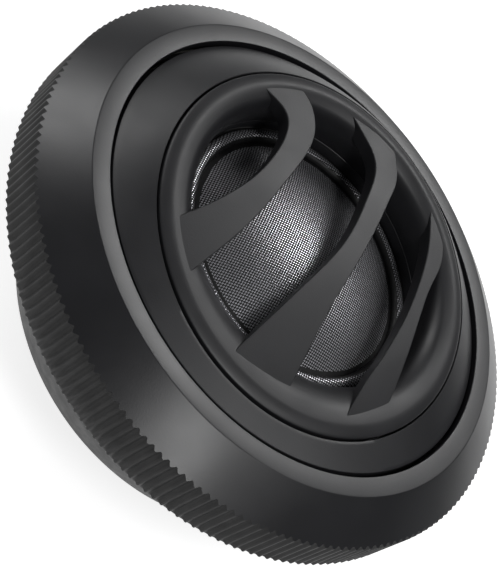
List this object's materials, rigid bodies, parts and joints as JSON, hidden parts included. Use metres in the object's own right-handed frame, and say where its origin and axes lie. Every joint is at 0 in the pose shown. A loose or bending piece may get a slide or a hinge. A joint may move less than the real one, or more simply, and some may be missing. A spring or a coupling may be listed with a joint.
{
  "type": "swivel dome tweeter",
  "caption": "Round car tweeter: a woven dome behind a raised grille with swept bars, in a ball that tilts and turns inside a knurled clamp ring on a small cup.",
  "frame": {"origin": "centre of the cup's flat back face", "axes": "+Z out of the front along the clamp ring's axis; +Y towards the grille's raised side; X along the tilt pins"},
  "size_m": [0.0554, 0.0554, 0.0223],
  "materials": {
    "moulded_black": "fine satin, charcoal black",
    "cup_plastic": "satin black",
    "slip_plastic": "low-friction, off-white",
    "frame_plastic": "black",
    "grommet_rubber": "soft black",
    "foam": "closed-cell foam, black",
    "felt": "pressed felt, grey",
    "coated_silk": "woven, coated, black",
    "former_foil": "thin foil",
    "copper_wire": "enamelled copper",
    "plated_magnet": "nickel plated",
    "zinc_steel": "zinc plated",
    "black_steel": "black coated steel",
    "pin_steel": "ground",
    "tab_brass": "tinned brass"
  },
  "bodies": {
    "base": {"rear_cup": "cup_plastic", "wire_grommet": "grommet_rubber", "felt_washer": "felt"},
    "clamp_lift": {"slip_ring": "slip_plastic"},
    "clamp_ring": {"knurled_ring": "moulded_black"},
    "carrier": {"gimbal_ring": "frame_plastic"},
    "capsule": {"ball_shell": "moulded_black", "trunnion_pins": "pin_steel", "bezel_grille": "moulded_black", "grille_gasket": "foam", "diaphragm_ring": "frame_plastic", "driver_frame": "frame_plastic", "frame_screws": "black_steel", "steel_pot": "zinc_steel", "magnet": "plated_magnet", "pole_plate": "zinc_steel", "pole_felt": "felt", "rear_cap": "frame_plastic", "cap_screws": "black_steel", "chamber_felt": "felt", "terminal_tabs": "tab_brass", "lead_wires": "copper_wire"},
    "diaphragm": {"dome": "coated_silk", "surround": "coated_silk", "coil_former": "former_foil", "coil_winding": "copper_wire"}
  },
  "joints": [
    {"name": "clamp_rise", "type": "slide", "parent": "base", "child": "clamp_lift", "axis": [0, 0, 1], "range_m": [0, 0.00151]},
    {"name": "clamp_turn", "type": "hinge", "parent": "clamp_lift", "child": "clamp_ring", "pos_m": [0, 0, 0.015], "axis": [0, 0, 1], "range_deg": [0, 540]},
    {"name": "swivel_turn", "type": "hinge", "parent": "base", "child": "carrier", "pos_m": [0, 0, 0.012], "axis": [0, 0, 1], "range_deg": [-170, 170]},
    {"name": "swivel_tilt", "type": "hinge", "parent": "carrier", "child": "capsule", "pos_m": [0, 0, 0.012], "axis": [1, 0, 0], "range_deg": [-10, 10]},
    {"name": "dome_stroke", "type": "slide", "parent": "capsule", "child": "diaphragm", "axis": [0, 0, 1], "range_m": [-0.00025, 0.00025], "stiffness_N_per_m": 6000, "deforming": ["surround"]}
  ],
  "couplings": [
    {"joint": "clamp_rise", "follows": "clamp_turn", "m_per_rad": 0.00015915}
  ]
}
